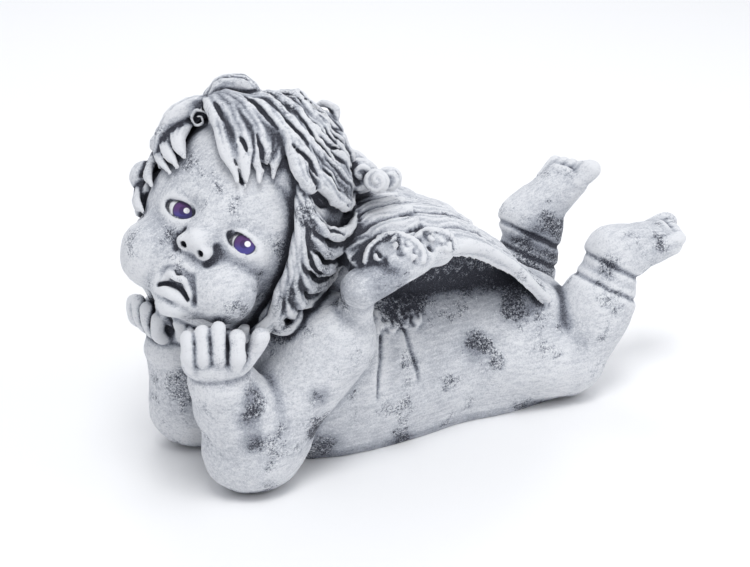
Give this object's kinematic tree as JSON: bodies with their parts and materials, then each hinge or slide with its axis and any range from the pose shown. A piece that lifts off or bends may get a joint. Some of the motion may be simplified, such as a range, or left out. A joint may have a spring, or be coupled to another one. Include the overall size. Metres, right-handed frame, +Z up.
{
  "type": "garden statue",
  "caption": "Stone putto lying on its front, chin on both hands, with folded wings, curly hair and raised lower legs.",
  "frame": {"origin": "centre of the bounding box in plan, on the ground that the underside rests on", "axes": "+X from the head to the feet, -Y the figure's left side, +Z up"},
  "size_m": [0.417, 0.1646, 0.2507],
  "materials": {
    "stone": "matt cast stone, dry-brushed pale grey over a charcoal wash, violet painted eyes"
  },
  "bodies": {
    "root": {"putto": "stone"}
  },
  "joints": []
}
